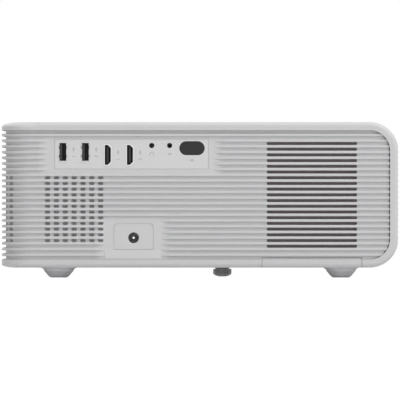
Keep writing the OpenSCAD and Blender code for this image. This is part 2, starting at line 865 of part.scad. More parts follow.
module adjuster_stud() {
    color(dark_grey) translate([wheel_x, wheel_y, 0]) union() {
        translate([0, 0, stud_z]) cylinder(r = stud_root, h = foot_h);
        translate([0, 0, foot_h]) cylinder(r = stud_r, h = nut_z + 15 - foot_h);
    }
}

// The fluted wheel of the front foot, with a domed underside and a neck that flares up to the body
module adjuster_wheel() {
    r = wheel_d / 2;
    flutes = 18;
    color(foot_grey) translate([wheel_x, wheel_y, 0]) difference() {
        rotate_extrude() polygon([[0, 0], [r - 4.3, 0], [r - 2.1, 0.5], [r - 0.5, 1.4], [r, 2],
            [r, wheel_h - 0.4], [r - 0.4, wheel_h], [r - 1.9, wheel_h], [r - 0.8, foot_h - 0.1],
            [0, foot_h - 0.1]]);
        translate([0, 0, stud_z]) cylinder(r = stud_root + fit_gap, h = foot_h);
        for (i = [0:flutes - 1]) rotate([0, 0, 360 / flutes * i]) translate([r + 0.5, 0, -1])
            cylinder(r = 0.8, h = wheel_h + 0.6, $fn = 16);
    }
}

module shell_screws() {
    color(steel) for (p = screw_at) translate([p[0], p[1], z_low + 0.4]) {
        cylinder(r = head_r, h = 1.4);
        cylinder(r = pilot_r - fit_gap, h = rim_t + 6);
    }
}

// ---------------------------------------------------------------- cooling and light

module fan_frame() {
    half = fan_s / 2;
    color(black) difference() {
        translate([lens_x - half, fan_y, lens_z - half]) cube([fan_s, fan_t, fan_s]);
        lens_disc(half - 2, fan_y - 1, fan_y + fan_t - 2);
        difference() {
            lens_disc(half - 2, fan_y + fan_t - 3, fan_y + fan_t + 1);
            for (a = [0, 90]) translate([lens_x, fan_y + fan_t, lens_z]) rotate([0, a + 45, 0])
                cube([fan_s, 8, 3.5], center = true);
            lens_disc(12, fan_y, fan_y + fan_t + 2);
        }
        lens_disc(shaft_r + fit_gap, fan_y, fan_y + fan_t + 1);
        for (x = [-1, 1], z = [-1, 1])
            translate([lens_x + x * (half - 5), fan_y - 1, lens_z + z * (half - 5)]) rotate([-90, 0, 0])
                cylinder(r = 2.1, h = fan_t + 2);
    }
}

module fan_rotor() {
    blades = 7;
    color(dark_grey) union() {
        lens_disc(11, fan_y + 1.5, fan_y + fan_t - 3);
        lens_disc(shaft_r, fan_y + 2, fan_y + fan_t - 0.5);
        intersection() {
            difference() {
                lens_disc(fan_s / 2 - 3, fan_y + 1.5, fan_y + fan_t - 3);
                lens_disc(10, fan_y, fan_y + fan_t);
            }
            translate([lens_x, fan_y + (fan_t - 1.5) / 2, lens_z])
                for (i = [0:blades - 1]) rotate([0, 360 / blades * i, 0]) rotate([40, 0, 0])
                    translate([0, -0.7, -1]) cube([fan_s, 1.4, 15], center = false);
        }
    }
}

module heatsink() {
    fins = 15;
    half = fan_s / 2;
    step = (fan_s - 1.2) / (fins - 1);
    color(steel) translate([0, 0, lens_z - sink_h / 2]) linear_extrude(sink_h) union() {
        translate([lens_x - half, led_y - 4]) square([fan_s, 4]);
        for (i = [0:fins - 1]) translate([lens_x - half + step * i, fan_y + fan_t + 3])
            square([1.2, led_y - 4 - (fan_y + fan_t + 3) + 0.1]);
    }
}

module led_module() {
    color(brass) union() {
        translate([lens_x - led_s / 2, led_y, lens_z - led_s / 2]) cube([led_s, 2, led_s]);
        lens_disc(14, led_y + 2, led_y + 4.5);
        translate([lens_x, led_y + 8, lens_z]) rotate([90, 0, 0])
            cylinder(r1 = 22, r2 = 14, h = 3.5);
    }
}

module optical_housing() {
    wall = box_wall;
    color(black) difference() {
        union() {
            translate([lens_x - box_w / 2, box_y[0], lens_z - box_h / 2])
                cube([box_w, box_y[1] - box_y[0], box_h]);
            hull() {
                translate([lens_x - box_w / 2, box_y[1] - 1, lens_z - box_h / 2]) cube([box_w, 1, box_h]);
                translate([lens_x - cone_half, cone_y, lens_z - cone_half])
                    cube([2 * cone_half, 2, 2 * cone_half]);
            }
            lens_disc(tube_r, cone_y, tube_front);
        }
        translate([lens_x - box_w / 2 + wall, box_y[0] + wall, lens_z - box_h / 2 + wall])
            cube([box_w - 2 * wall, box_y[1] - box_y[0] - 2 * wall, box_h - 2 * wall]);
        hull() {
            translate([lens_x - box_w / 2 + wall, box_y[1] - 3, lens_z - box_h / 2 + wall])
                cube([box_w - 2 * wall, 1, box_h - 2 * wall]);
            translate([lens_x - cone_half + 4, cone_y - 2, lens_z - cone_half + 4])
                cube([2 * cone_half - 8, 1, 2 * cone_half - 8]);
        }
        lens_disc(barrel_r + fit_gap, cone_y - 10, hd);
        lens_disc(20, box_y[0] - 1, box_y[0] + wall + 1);
    }
}

module lcd_panel() {
    color(glass) translate([lens_x - box_w / 2 + box_wall, box_y[1] - lcd_in, lens_z - box_h / 2 + box_wall])
        cube([box_w - 2 * box_wall, 3, box_h - 2 * box_wall]);
}

module lens_barrel() {
    color(black) about_lens() polygon([[barrel_r - 2, -barrel_rear], [barrel_r, -barrel_rear],
        [barrel_r, -barrel_front], [barrel_r - 1, -barrel_front], [barrel_r - 4, -barrel_front + 5],
        [barrel_r - 4, -barrel_front + 6], [barrel_r - 2, -barrel_front + 6]]);
}

// A lens with one domed face: r is its rim, dome the radius of the face, y where the rim ends
module lens_glass(r, dome, y, rim) {
    sag = dome - sqrt(dome * dome - r * r);
    color(glass) intersection() {
        lens_disc(r, y - rim, y + sag + 1);
        translate([lens_x, y + sag - dome, lens_z]) sphere(r = dome, $fn = 96);
    }
}

module front_lens() {
    lens_glass(barrel_r - 2 - fit_gap, 60, barrel_front - 11, 3);
}

module rear_lens() {
    lens_glass(barrel_r - 2 - fit_gap, 48, rear_lens_y, 3);
}

// The knurled ring that moves the barrel
module focus_ring() {
    flutes = 32;
    color(black) difference() {
        about_lens() polygon([[tube_r + fit_gap, -(hd - 24)], [ring_r - 1, -(hd - 24)],
            [ring_r, -(hd - 23)],
            [ring_r, -(hd - 2)], [ring_r - 1, -(hd - 1)], [barrel_r + 2, -(hd - 1)],
            [barrel_r + 0.5, -(hd - 3)], [barrel_r + 0.5, -(hd - 4)], [tube_r + fit_gap, -(hd - 5)]]);
        translate([lens_x, hd, lens_z]) rotate([90, 0, 0])
            for (i = [0:flutes - 1]) rotate([0, 0, 360 / flutes * i]) translate([ring_r + 0.7, 0, 4])
                cylinder(r = 1.4, h = 14, $fn = 16);
    }
}

// The dished ring round the lens
module lens_bezel() {
    mouth = ring_r + 2.8;
    color(dark_grey) about_lens() polygon([[bezel_r, -floor_y], [bezel_r, -hd + 0.6],
        [bezel_r - 0.6, -hd], [bezel_r - 2.5, -hd], [mouth, -(hd - 14)], [ring_r + 1, -(hd - 14)],
        [ring_r + 1, -(hd - 15.6)], [mouth + 1.2, -(hd - 15.6)], [bezel_r - 2.4, -inner_y],
        [bezel_r - 2.4, -floor_y]]);
}

// ---------------------------------------------------------------- disc drive

module mirror_drive() {
    for (s = [0, 1]) translate([drive_x, 0, 0]) mirror([s, 0, 0]) children();
}

module drive_case() {
    half = drive_w / 2;
    zs = [drive_z - drive_h / 2, drive_z + drive_h / 2];
    back = case_front - drive_l;
    rail_z = [drive_z - 0.5 - rail_h / 2, drive_z - 0.5 + rail_h / 2];
    color(steel) union() {
        difference() {
            block([drive_x - half, back, zs[0]], [drive_x + half, case_front, zs[1]]);
            block([drive_x - case_half, back + sheet_t, zs[0] + sheet_t],
                [drive_x + case_half, case_front + 1, zs[1] - sheet_t]);
            translate([drive_x, disc_y, zs[1] - 0.3]) linear_extrude(1) difference() {
                circle(d = 60);
                circle(d = 54);
            }
        }
        mirror_drive() for (z = [rail_z[0] - 0.3 - sheet_t, rail_z[1] + 0.3])
            block([tray_half + slide_gap, back + sheet_t - 0.1, z],
                [case_half + 0.1, case_front, z + sheet_t]);
    }
}

// One telescoping rail: a channel whose two flanges hold the tray's tongue
module rail() {
    z0 = drive_z - 0.5 - rail_h / 2;
    upright(disc_y - tray_l / 2 + 1, inner_y - 2) difference() {
        translate([tray_half - 0.7, z0]) square([rail_out - tray_half + 0.7, rail_h]);
        translate([tray_half - 1.7, z0 + rail_flange])
            square([rail_in - tray_half + 1.7, rail_h - 2 * rail_flange]);
    }
}

module rail_left() {
    color(steel) translate([drive_x, 0, 0]) mirror([1, 0, 0]) rail();
}

module rail_right() {
    color(steel) translate([drive_x, 0, 0]) rail();
}

// Places the disc mechanism: its X axis runs out from the spindle, towards the tray's rear left corner
module on_sled() {
    translate([drive_x, disc_y, 0]) rotate([0, 0, -135]) children();
}

module disc_tray() {
    z0 = drive_z - 0.5 - rail_h / 2;
    back = disc_y - tray_l / 2;
    color(black) difference() {
        block([drive_x - tray_half, back, tray_low], [drive_x + tray_half, inner_y, tray_top]);
        translate([drive_x, disc_y, well_z]) cylinder(d = well_d, h = 10, $fn = 96);
        translate([drive_x, disc_y, well_z - 0.5]) cylinder(d = 46, h = 10);
        block([drive_x - cavity_half, disc_y - cavity_half, tray_low - 1],
            [drive_x + cavity_half, disc_y + cavity_half - 3, skin_z]);
        translate([drive_x, disc_y, tray_low]) cylinder(r = 17, h = 10);
        on_sled() block([10, -11.4, tray_low], [60, 11.4, tray_top + 1]);
        mirror_drive() for (z = [z0 - 0.3, z0 + rail_h - rail_flange - 0.3])
            block([tray_half - 1, back - 1, z], [tray_half + 1, inner_y - 1.5, z + rail_flange + 0.6]);
        block([eject_x - 7, inner_y - 3, drive_z - 2.5], [eject_x + 7, inner_y + 1, drive_z + 2.5]);
        // Two scoops for a finger at the edge of the disc
        for (s = [-1, 1]) translate([drive_x + s * 56, disc_y + 56, well_z - 0.01]) cylinder(r = 9, h = 10);
    }
}

module tray_bezel() {
    half = drive_w / 2;
    low = groove_z(tray_row + 3) + bezel_gap;
    top = groove_z(tray_row) - bezel_gap;
    color(rib_grey) difference() {
        union() {
            block([drive_x - half, inner_y, low], [drive_x + half, floor_y, top]);
            along_x(drive_x - half, drive_x + half)
                for (k = [tray_row:tray_row + 2])
                    translate([floor_y, rib_z(k)]) polygon([[-bite, -rib_base / 2], [0, -rib_base / 2],
                        [rib_depth, -rib_tip / 2], [rib_depth, rib_tip / 2], [0, rib_base / 2],
                        [-bite, rib_base / 2]]);
        }
        upright(inner_y - 1, hd) translate([eject_x, drive_z])
            stadium(eject_size[0] + 2 * key_gap, eject_size[1] + 2 * key_gap);
    }
}

module eject_button() {
    color(light_grey) translate([eject_x, 0, drive_z]) union() {
        upright(inner_y - 0.1, tip_y) stadium(eject_size[0], eject_size[1]);
        upright(inner_y - 1, inner_y) stadium(eject_size[0] + 3, eject_size[1] + 1.2);
    }
}

module sled_plate() {
    color(steel) difference() {
        union() {
            on_sled() block([-18, -19, tray_low], [tab_out + tab_t, 15, sled_z]);
            on_sled() for (x = [tab_in, tab_out]) {
                block([x, rod_y - 2, sled_z - 0.1], [x + tab_t, rod_y + 2, skin_z - 0.1]);
                block([x, -rod_y - 2, sled_z - 0.1], [x + tab_t, -rod_y + 2, skin_z - 0.1]);
            }
            on_sled() block([tab_in, screw_y - 2, sled_z - 0.1], [tab_in + tab_t, -rod_y, skin_z - 0.1]);
        }
        on_sled() translate([tab_in - 1, screw_y, screw_z]) rotate([0, 90, 0])
            cylinder(r = journal_r + fit_gap, h = 4);
        on_sled() for (s = [-1, 1]) translate([tab_in - 1, s * rod_y, rod_z]) rotate([0, 90, 0])
            cylinder(r = rod_r, h = tab_out - tab_in + 4);
        on_sled() block([28, -9, tray_low - 1], [52, 9, sled_z + 1]);
    }
}

module guide_rods() {
    color(steel) on_sled() for (s = [-1, 1]) translate([tab_in, s * rod_y, rod_z]) rotate([0, 90, 0])
        cylinder(r = rod_r, h = tab_out + tab_t - tab_in);
}

module spindle_motor() {
    color(steel) translate([drive_x, disc_y, sled_z]) difference() {
        cylinder(r = 12.5, h = hub_base - sled_z - 0.3);
        translate([0, 0, 0.5]) cylinder(r = 1.2 + fit_gap, h = 5);
    }
}

// The turntable, with the boss and jaws that hold a disc
module spindle_hub() {
    color(dark_grey) translate([drive_x, disc_y, 0]) union() {
        rotate_extrude() polygon([[0, sled_z + 0.7], [1.2, sled_z + 0.7], [1.2, hub_base],
            [hub_r, hub_base], [hub_r, well_z + 0.4], [7.3, well_z + 0.4], [7.3, well_z + 2.2],
            [6.3, well_z + 3], [0, well_z + 3]]);
        for (i = [0:2]) rotate([0, 0, 120 * i]) translate([6.5, 0, well_z + 0.4]) cylinder(r = 1, h = 1.9);
    }
}

module lead_screw() {
    color(steel) on_sled() translate([0, screw_y, screw_z]) rotate([0, 90, 0]) union() {
        translate([0, 0, tab_in + 0.1]) cylinder(r = journal_r, h = 43);
        translate([0, 0, tab_in + tab_t + 0.5]) cylinder(r = screw_r, h = 37);
    }
}

module sled_motor() {
    color(steel) on_sled() difference() {
        union() {
            intersection() {
                translate([55, screw_y, screw_z]) rotate([0, 90, 0]) cylinder(r = 2, h = 8);
                block([54, screw_y - 3, sled_z], [64, screw_y + 3, skin_z - 0.2]);
            }
            block([56, screw_y - 1.8, sled_z], [62, screw_y + 1.8, screw_z]);
        }
        translate([54, screw_y, screw_z]) rotate([0, 90, 0]) cylinder(r = journal_r + fit_gap, h = 6);
    }
}

// The laser sled, with its lens, on the two rods
module pickup() {
    z0 = sled_z + 0.4;
    z1 = skin_z - 0.3;
    a = pickup_r - pickup_half;
    b = pickup_r + pickup_half;
    color(black) on_sled() difference() {
        union() {
            block([a, -rod_y - 1.9, z0], [b, rod_y + 1.9, z1]);
            block([a, screw_y - 2, z0], [a + 4, -rod_y, z1]);
            translate([pickup_r, 0, z1 - 0.1]) cylinder(r = 4, h = 0.6);
            translate([pickup_r, 0, z1 - 0.1]) cylinder(r = 2.2, h = 1.1);
        }
        for (s = [-1, 1]) translate([a - 1, s * rod_y, rod_z]) rotate([0, 90, 0])
            cylinder(r = rod_r + fit_gap, h = 2 * pickup_half + 2);
        translate([a - 1, screw_y, screw_z]) rotate([0, 90, 0]) cylinder(r = screw_r + 0.3, h = 8);
    }
}

// ---------------------------------------------------------------- keys

// Middles of the round keys
key_power_at = [-50, 0];
key_source_at = [-31, 0];
key_menu_at = [31, 0];
key_play_at = [50, 0];
nav_r = [9, 17];

module control_panel() {
    color(dark_grey) translate([0, keys_y, 0]) difference() {
        union() {
            translate([0, 0, panel_low]) linear_extrude(top_in - panel_low)
                stadium(panel_size[0] + 6, panel_size[1] + 6);
            translate([0, 0, panel_low]) linear_extrude(panel_top - panel_low)
                stadium(panel_size[0] - 0.4, panel_size[1] - 0.4);
            for (s = [-1, 1], y = [-14, 14]) translate([s * 40, y, board_top])
                cylinder(r = 2, h = panel_low - board_top + bite);
        }
        translate([0, 0, panel_low - 1]) for (p = [key_power_at, key_source_at, key_menu_at, key_play_at])
            translate(p) cylinder(d = key_d + 2 * key_gap, h = 10);
        translate([0, 0, panel_low - 1]) cylinder(r = nav_r[1] + key_gap, h = 10);
    }
}

module key_board() {
    color(green) translate([0, keys_y, board_top - board_t]) linear_extrude(board_t) stadium(120, 38);
}

module round_key(p) {
    color(light_grey) translate([p[0], keys_y + p[1], 0]) union() {
        translate([0, 0, panel_low - 0.1]) cylinder(d = key_d, h = key_top - panel_low + 0.1);
        translate([0, 0, panel_low - flange_t]) cylinder(d = key_d + 2.4, h = flange_t);
        translate([0, 0, panel_low - flange_t - 0.4]) cylinder(r = 2, h = 0.5);
    }
}

module key_power() {
    round_key(key_power_at);
}

module key_source() {
    round_key(key_source_at);
}

module key_menu() {
    round_key(key_menu_at);
}

module key_play() {
    round_key(key_play_at);
}

module nav_ring() {
    color(light_grey) translate([0, keys_y, 0]) difference() {
        union() {
            translate([0, 0, panel_low - 0.1]) cylinder(r = nav_r[1], h = key_top - panel_low + 0.1);
            translate([0, 0, panel_low - flange_t]) cylinder(r = nav_r[1] + 1.2, h = flange_t);
        }
        translate([0, 0, panel_low - 2]) cylinder(r = nav_r[0], h = 20);
    }
}

module key_ok() {
    color(light_grey) translate([0, keys_y, 0]) union() {
        translate([0, 0, panel_low - flange_t])
            cylinder(r = nav_r[0] - 0.35, h = key_top - 0.3 - panel_low + flange_t);
        translate([0, 0, panel_low - flange_t - 0.4]) cylinder(r = 2, h = 0.5);
    }
}

wrap_shell();
ribbed_housing();
port_plate();
power_plate();
ir_window_rear();
ir_window_front();
usb_shell_1();
usb_shell_2();
usb_tongues();
hdmi_shell_1();
hdmi_shell_2();
hdmi_tongues();
av_jack();
phone_jack();
dc_jack();
dc_pin();
main_board();
grille_cloth();
speaker_rear();
speaker_side();
filter_drawer();
dust_filter();
rear_foot_left();
rear_foot_right();
adjuster_nut();
adjuster_stud();
adjuster_wheel();
shell_screws();
fan_frame();
fan_rotor();
heatsink();
led_module();
lcd_panel();
optical_housing();
lens_barrel();
front_lens();
rear_lens();
focus_ring();
lens_bezel();
drive_case();
rail_left();
rail_right();
disc_tray();
tray_bezel();
eject_button();
sled_plate();
spindle_motor();
spindle_hub();
guide_rods();
lead_screw();
sled_motor();
pickup();
control_panel();
key_board();
key_power();
key_source();
key_menu();
key_play();
nav_ring();
key_ok();
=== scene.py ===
import json
import math
import bmesh
import bpy
from mathutils import Matrix, Vector


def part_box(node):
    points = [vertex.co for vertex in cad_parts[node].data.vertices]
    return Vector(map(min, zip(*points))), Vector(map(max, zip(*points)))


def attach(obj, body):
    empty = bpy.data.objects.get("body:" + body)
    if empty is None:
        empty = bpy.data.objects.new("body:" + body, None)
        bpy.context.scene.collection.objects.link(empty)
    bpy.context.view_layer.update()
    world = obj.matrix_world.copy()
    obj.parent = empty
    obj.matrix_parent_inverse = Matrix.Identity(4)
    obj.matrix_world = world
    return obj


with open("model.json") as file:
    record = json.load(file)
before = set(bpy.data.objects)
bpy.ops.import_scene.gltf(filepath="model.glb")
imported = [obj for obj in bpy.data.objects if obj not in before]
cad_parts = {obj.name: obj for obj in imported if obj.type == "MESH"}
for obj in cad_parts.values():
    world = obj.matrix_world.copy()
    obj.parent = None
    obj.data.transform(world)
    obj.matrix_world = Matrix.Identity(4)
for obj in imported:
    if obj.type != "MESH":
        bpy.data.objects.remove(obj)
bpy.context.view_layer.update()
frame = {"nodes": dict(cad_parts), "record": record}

# Lengths are in metres, and MM turns millimetres into them.
MM = 0.001
BODY = "body"

# ------------------------------------------------------------------ colours


def tone(red, green, blue, alpha=1.0):
    """A colour seen as 0 to 255 on a screen, as the linear colour that a shader takes."""
    def linear(level):
        level = level / 255
        return level / 12.92 if level <= 0.04045 else ((level + 0.055) / 1.055) ** 2.4
    return (linear(red), linear(green), linear(blue), alpha)


WHITE = (1.0, 1.0, 1.0, 1.0)

# Hair lines in drawn metal, as their number to the metre along each axis
LINES_ALONG_X = (300.0, 6000.0, 6000.0)
LINES_ALONG_Y = (6000.0, 300.0, 6000.0)
LINES_ALONG_Z = (6000.0, 6000.0, 300.0)

# ------------------------------------------------------------------ shader groups


def new_group(name, inputs, outputs):
    """A shader group with named sockets. Returns its tree, its input node and its output node."""
    tree = bpy.data.node_groups.new(name, "ShaderNodeTree")
    for label, kind, value in inputs:
        socket = tree.interface.new_socket(label, in_out="INPUT", socket_type=kind)
        socket.default_value = value
    for label, kind in outputs:
        tree.interface.new_socket(label, in_out="OUTPUT", socket_type=kind)
    return tree, tree.nodes.new("NodeGroupInput"), tree.nodes.new("NodeGroupOutput")


def node(tree, kind, **settings):
    """A new node with its settings."""
    made = tree.nodes.new(kind)
    for key, value in settings.items():
        setattr(made, key, value)
    return made


def math_node(tree, operation, first, second=0.0):
    """A Math node. Each operand is a socket or a number."""
    made = node(tree, "ShaderNodeMath", operation=operation)
    for index, operand in enumerate((first, second)):
        if isinstance(operand, (int, float)):
            made.inputs[index].default_value = operand
        else:
            tree.links.new(operand, made.inputs[index])
    return made.outputs[0]


def mix_colour(tree, factor, first, second, blend="MIX"):
    """A colour Mix node. The factor and both colours are sockets or constants."""
    made = node(tree, "ShaderNodeMix", data_type="RGBA", blend_type=blend)
    for index, operand in ((0, factor), (6, first), (7, second)):
        if isinstance(operand, bpy.types.NodeSocket):
            tree.links.new(operand, made.inputs[index])
        else:
            made.inputs[index].default_value = operand
    return made.outputs[2]


def noise(tree, vector, scale, detail):
    """A noise value. The scale is a socket or a number."""
    made = node(tree, "ShaderNodeTexNoise")
    made.inputs["Detail"].default_value = detail
    tree.links.new(vector, made.inputs["Vector"])
    if isinstance(scale, (int, float)):
        made.inputs["Scale"].default_value = scale
    else:
        tree.links.new(scale, made.inputs["Scale"])
    return made.outputs["Fac"]


DRIFTS_PER_METRE = 14.0
SLOW_SHARE, FINE_SHARE = 0.7, 0.3
GRAIN_GLOSS = 0.12


def moulded_skin_group():
    """Moulded plastic or rubber: fine spark-eroded grain, and a slow drift of tone and gloss."""
    tree, given, result = new_group(
        "moulded_skin",
        [("Colour", "NodeSocketColor", WHITE), ("Shade", "NodeSocketColor", WHITE),
         ("Drift", "NodeSocketFloat", 0.3), ("Grain size", "NodeSocketFloat", 0.4 * MM),
         ("Roughness", "NodeSocketFloat", 0.5)],
        [("Colour", "NodeSocketColor"), ("Roughness", "NodeSocketFloat"), ("Height", "NodeSocketFloat")])
    place = node(tree, "ShaderNodeTexCoord").outputs["Object"]
    fine = noise(tree, place, math_node(tree, "DIVIDE", 1.0, given.outputs["Grain size"]), 3.0)
    slow = noise(tree, place, DRIFTS_PER_METRE, 3.0)
    both = math_node(tree, "ADD", math_node(tree, "MULTIPLY", slow, SLOW_SHARE),
                     math_node(tree, "MULTIPLY", fine, FINE_SHARE))
    amount = math_node(tree, "MULTIPLY", both, given.outputs["Drift"])
    tree.links.new(mix_colour(tree, amount, given.outputs["Colour"], given.outputs["Shade"]),
                   result.inputs["Colour"])
    rough = math_node(tree, "ADD", given.outputs["Roughness"],
                      math_node(tree, "MULTIPLY", math_node(tree, "SUBTRACT", fine, 0.5), GRAIN_GLOSS))
    tree.links.new(rough, result.inputs["Roughness"])
    tree.links.new(fine, result.inputs["Height"])
    return tree


TARNISHES_PER_METRE = 160.0
TARNISH_SHARE = 0.35
HAIR_GLOSS = 0.18


def drawn_metal_group():
    """Rolled or drawn metal: hair lines along one axis, and a little tarnish."""
    tree, given, result = new_group(
        "drawn_metal",
        [("Colour", "NodeSocketColor", WHITE), ("Tarnish", "NodeSocketColor", WHITE),
         ("Lines", "NodeSocketVector", LINES_ALONG_X), ("Roughness", "NodeSocketFloat", 0.3)],
        [("Colour", "NodeSocketColor"), ("Roughness", "NodeSocketFloat"), ("Height", "NodeSocketFloat")])
    place = node(tree, "ShaderNodeTexCoord").outputs["Object"]
    stretched = node(tree, "ShaderNodeVectorMath", operation="MULTIPLY")
    tree.links.new(place, stretched.inputs[0])
    tree.links.new(given.outputs["Lines"], stretched.inputs[1])
    hair = noise(tree, stretched.outputs[0], 1.0, 3.0)
    patch = noise(tree, place, TARNISHES_PER_METRE, 4.0)
    amount = math_node(tree, "MULTIPLY", math_node(tree, "ADD", hair, patch), TARNISH_SHARE)
    tree.links.new(mix_colour(tree, amount, given.outputs["Colour"], given.outputs["Tarnish"]),
                   result.inputs["Colour"])
    rough = math_node(tree, "ADD", given.outputs["Roughness"],
                      math_node(tree, "MULTIPLY", hair, HAIR_GLOSS))
    tree.links.new(rough, result.inputs["Roughness"])
    tree.links.new(hair, result.inputs["Height"])
    return tree


def open_weave_group():
    """An open cloth or mesh: threads both ways, with the dark between them."""
    tree, given, result = new_group(
        "open_weave",
        [("Thread", "NodeSocketColor", WHITE), ("Between", "NodeSocketColor", WHITE),
         ("Pitch", "NodeSocketFloat", 0.6 * MM)],
        [("Colour", "NodeSocketColor"), ("Height", "NodeSocketFloat")])
    place = node(tree, "ShaderNodeTexCoord").outputs["Object"]
    parts = node(tree, "ShaderNodeSeparateXYZ")
    tree.links.new(place, parts.inputs[0])
    turn = math_node(tree, "DIVIDE", 2 * math.pi, given.outputs["Pitch"])
    along = math_node(tree, "ADD", parts.outputs["X"], parts.outputs["Y"])
    waves = [math_node(tree, "SINE", math_node(tree, "MULTIPLY", part, turn))
             for part in (along, parts.outputs["Z"])]
    raised = math_node(tree, "MAXIMUM", waves[0], waves[1])
    height = math_node(tree, "MULTIPLY", math_node(tree, "ADD", raised, 1.0), 0.5)
    tree.links.new(mix_colour(tree, height, given.outputs["Between"], given.outputs["Thread"]),
                   result.inputs["Colour"])
    tree.links.new(height, result.inputs["Height"])
    return tree


MOULDED_SKIN = moulded_skin_group()
DRAWN_METAL = drawn_metal_group()
OPEN_WEAVE = open_weave_group()

# ------------------------------------------------------------------ materials


def new_material(name):
    """An empty node material. Returns it, its tree and its Principled shader."""
    made = bpy.data.materials.new(name)
    made.use_nodes = True
    tree = made.node_tree
    tree.nodes.clear()
    shader = node(tree, "ShaderNodeBsdfPrincipled")
    out = node(tree, "ShaderNodeOutputMaterial")
    tree.links.new(shader.outputs[0], out.inputs["Surface"])
    return made, tree, shader


def place_group(tree, group, **values):
    """Places a shader group and sets its inputs, with _ for a space in their names."""
    placed = node(tree, "ShaderNodeGroup", node_tree=group)
    for key, value in values.items():
        placed.inputs[key.replace("_", " ")].default_value = value
    return placed


BUMP_STRENGTH = 0.6


def wire_bump(tree, shader, height, depth):
    """Bump from a height of 0 to 1, as deep as given in metres."""
    bump = node(tree, "ShaderNodeBump")
    bump.inputs["Strength"].default_value = BUMP_STRENGTH
    bump.inputs["Distance"].default_value = depth
    tree.links.new(height, bump.inputs["Height"])
    tree.links.new(bump.outputs[0], shader.inputs["Normal"])


def plastic(name, colour, shade, roughness=0.5, drift=0.3, grain=0.4 * MM, depth=0.02 * MM, coat=0.0,
            specular=0.5):
    """A moulded plastic or rubber, whose tone drifts from colour to shade over a fine grain."""
    made, tree, shader = new_material(name)
    skin = place_group(tree, MOULDED_SKIN, Colour=colour, Shade=shade, Drift=drift, Grain_size=grain,
                       Roughness=roughness)
    tree.links.new(skin.outputs["Colour"], shader.inputs["Base Color"])
    tree.links.new(skin.outputs["Roughness"], shader.inputs["Roughness"])
    shader.inputs["Coat Weight"].default_value = coat
    shader.inputs["Specular IOR Level"].default_value = specular
    wire_bump(tree, shader, skin.outputs["Height"], depth)
    return made


LINE_DEPTH = 0.01 * MM


def metal(name, colour, tarnish, roughness, lines=LINES_ALONG_X):
    """A drawn or rolled metal with hair lines along one axis."""
    made, tree, shader = new_material(name)
    drawn = place_group(tree, DRAWN_METAL, Colour=colour, Tarnish=tarnish, Lines=lines, Roughness=roughness)
    tree.links.new(drawn.outputs["Colour"], shader.inputs["Base Color"])
    tree.links.new(drawn.outputs["Roughness"], shader.inputs["Roughness"])
    shader.inputs["Metallic"].default_value = 1.0
    wire_bump(tree, shader, drawn.outputs["Height"], LINE_DEPTH)
    return made


def pin_metal(shade_from_y):
    """The plated pin of the power inlet. Past the given depth along y it is painted dark and not metallic:
    painted shade, deep in the inlet's bore.
    """
    made, tree, shader = new_material("pin_metal")
    drawn = place_group(tree, DRAWN_METAL, Colour=tone(246, 246, 245), Tarnish=tone(226, 226, 225),
                        Roughness=0.25)
    along = node(tree, "ShaderNodeSeparateXYZ")
    tree.links.new(node(tree, "ShaderNodeTexCoord").outputs["Object"], along.inputs[0])
    # painted shade: the pin turns dark and not metallic past the given depth
    shaded = math_node(tree, "GREATER_THAN", along.outputs["Y"], shade_from_y)
    colour = mix_colour(tree, shaded, drawn.outputs["Colour"], tone(40, 40, 42))
    tree.links.new(colour, shader.inputs["Base Color"])
    tree.links.new(math_node(tree, "SUBTRACT", 1.0, shaded), shader.inputs["Metallic"])
    tree.links.new(drawn.outputs["Roughness"], shader.inputs["Roughness"])
    return made


THREAD_DEPTH = 0.2 * MM


def cloth(name, thread, between, pitch):
    """A woven cloth or a fine mesh."""
    made, tree, shader = new_material(name)
    weave = place_group(tree, OPEN_WEAVE, Thread=thread, Between=between, Pitch=pitch)
    tree.links.new(weave.outputs["Colour"], shader.inputs["Base Color"])
    shader.inputs["Roughness"].default_value = 0.9
    shader.inputs["Sheen Weight"].default_value = 0.2
    wire_bump(tree, shader, weave.outputs["Height"], THREAD_DEPTH)
    return made


def coated_glass():
    """Lens glass: clear, with a coating that tints what it reflects at a slant."""
    made, tree, shader = new_material("coated_glass")
    shader.inputs["Roughness"].default_value = 0.03
    shader.inputs["Metallic"].default_value = 0.0
    shader.inputs["Transmission Weight"].default_value = 0.85
    shader.inputs["IOR"].default_value = 1.5
    facing = node(tree, "ShaderNodeLayerWeight")
    facing.inputs["Blend"].default_value = 0.35
    tint = mix_colour(tree, facing.outputs["Facing"], tone(70, 92, 132), tone(122, 96, 150))
    tree.links.new(tint, shader.inputs["Base Color"])
    return made


SHELL = plastic("shell_grey", tone(200, 200, 201), tone(193, 193, 195), roughness=0.48)
RIBBED = plastic("ribbed_grey", tone(203, 203, 204), tone(196, 196, 198), roughness=0.55)
PORT_GREY = plastic("port_grey", tone(209, 209, 210), tone(203, 203, 205), roughness=0.55)
SMOKED = plastic("smoked_window", tone(36, 36, 37), tone(30, 30, 32), roughness=0.34, drift=0.2,
                 depth=0.003 * MM, specular=0.36)
BLACK = plastic("black_moulding", tone(34, 34, 35), tone(24, 24, 26), roughness=0.5)
SOCKET_BLACK = plastic("socket_black", tone(22, 22, 24), tone(14, 14, 16), roughness=0.45)
TONGUE_GREY = plastic("tongue_grey", tone(44, 45, 47), tone(36, 37, 39), roughness=0.5)
# Painted light: the jacks are near white, to lift the shade in their deep bores
JACK_PAINTED_LIGHT = plastic("jack_grey", tone(238, 238, 236), tone(230, 230, 229), roughness=0.6)
INLET_GREY = plastic("inlet_grey", tone(196, 196, 196), tone(182, 182, 183), roughness=0.6)
BEZEL_GREY = plastic("bezel_grey", tone(70, 71, 73), tone(62, 62, 65), roughness=0.42, coat=0.1)
RING_BLACK = plastic("ring_black", tone(44, 44, 46), tone(34, 34, 36), roughness=0.55, grain=0.3 * MM)
KEY_SATIN = plastic("key_satin", tone(212, 212, 214), tone(204, 204, 207), roughness=0.38, drift=0.2)
